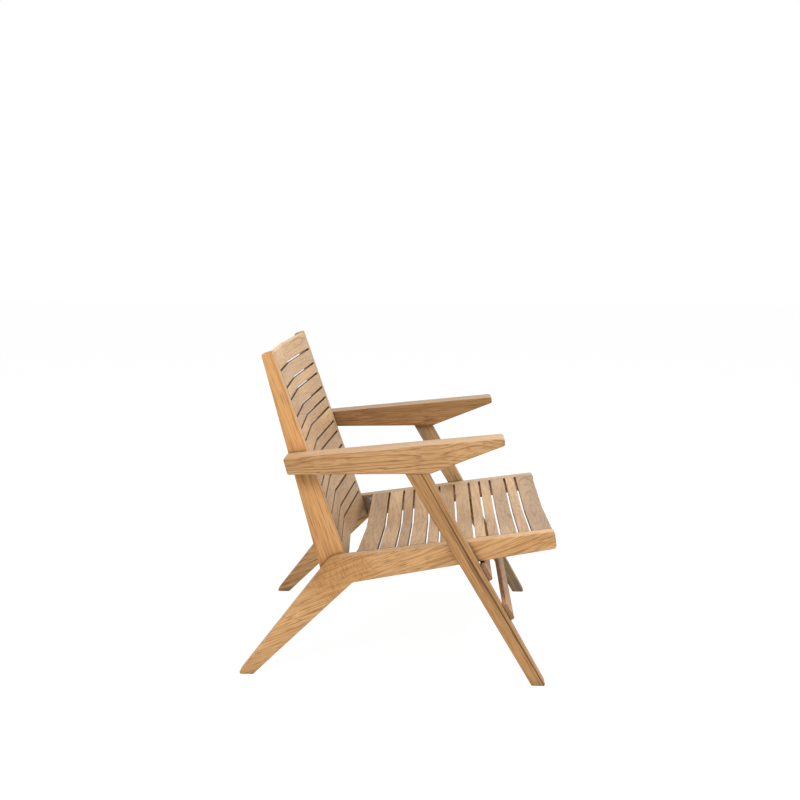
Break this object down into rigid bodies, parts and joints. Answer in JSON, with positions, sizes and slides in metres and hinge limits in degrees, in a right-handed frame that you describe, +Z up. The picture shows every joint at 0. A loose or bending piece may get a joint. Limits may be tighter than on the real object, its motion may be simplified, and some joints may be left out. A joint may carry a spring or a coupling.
{
  "type": "garden armchair",
  "caption": "Low wooden garden armchair with a dished slatted seat, a raked slatted back, angled boomerang side rails that become the rear legs, and sloping front legs under flat arms.",
  "frame": {"origin": "on the floor, under the middle of the overall width and depth", "axes": "+X to the left of a person sitting in the chair, -Y towards the front, +Z up"},
  "size_m": [0.66, 0.7596, 0.7884],
  "materials": {
    "frame_wood": "sanded raw hardwood, matte",
    "slat_wood": "sanded raw hardwood, matte, paler",
    "dowel_wood": "turned hardwood, hidden",
    "steel": "zinc-plated, dull"
  },
  "bodies": {
    "root": {"arm_bolts": "steel", "arm_dowels": "dowel_wood", "armrest_left": "frame_wood", "armrest_right": "frame_wood", "back_post_left": "frame_wood", "back_post_right": "frame_wood", "back_slat_01": "slat_wood", "back_slat_02": "slat_wood", "back_slat_03": "slat_wood", "back_slat_04": "slat_wood", "back_slat_05": "slat_wood", "back_slat_06": "slat_wood", "back_slat_07": "slat_wood", "back_slat_08": "slat_wood", "back_slat_09": "slat_wood", "back_slat_10": "slat_wood", "back_slat_11": "slat_wood", "back_slat_12": "slat_wood", "back_slat_13": "slat_wood", "back_slat_14": "slat_wood", "bracket_screws": "steel", "corner_bracket_left": "steel", "corner_bracket_right": "steel", "cross_rail_dowels": "dowel_wood", "front_leg_left": "frame_wood", "front_leg_right": "frame_wood", "leg_bolts": "steel", "lower_front_stretcher": "frame_wood", "post_bolts": "steel", "rear_cross_rail": "frame_wood", "seat_slat_01": "slat_wood", "seat_slat_02": "slat_wood", "seat_slat_03": "slat_wood", "seat_slat_04": "slat_wood", "seat_slat_05": "slat_wood", "seat_slat_06": "slat_wood", "seat_slat_07": "slat_wood", "seat_slat_08": "slat_wood", "seat_slat_09": "slat_wood", "seat_slat_10": "slat_wood", "seat_slat_11": "slat_wood", "seat_slat_12": "slat_wood", "side_rail_left": "frame_wood", "side_rail_right": "frame_wood", "stretcher_dowels": "dowel_wood", "threaded_inserts": "steel", "upper_front_stretcher": "frame_wood"}
  },
  "joints": []
}
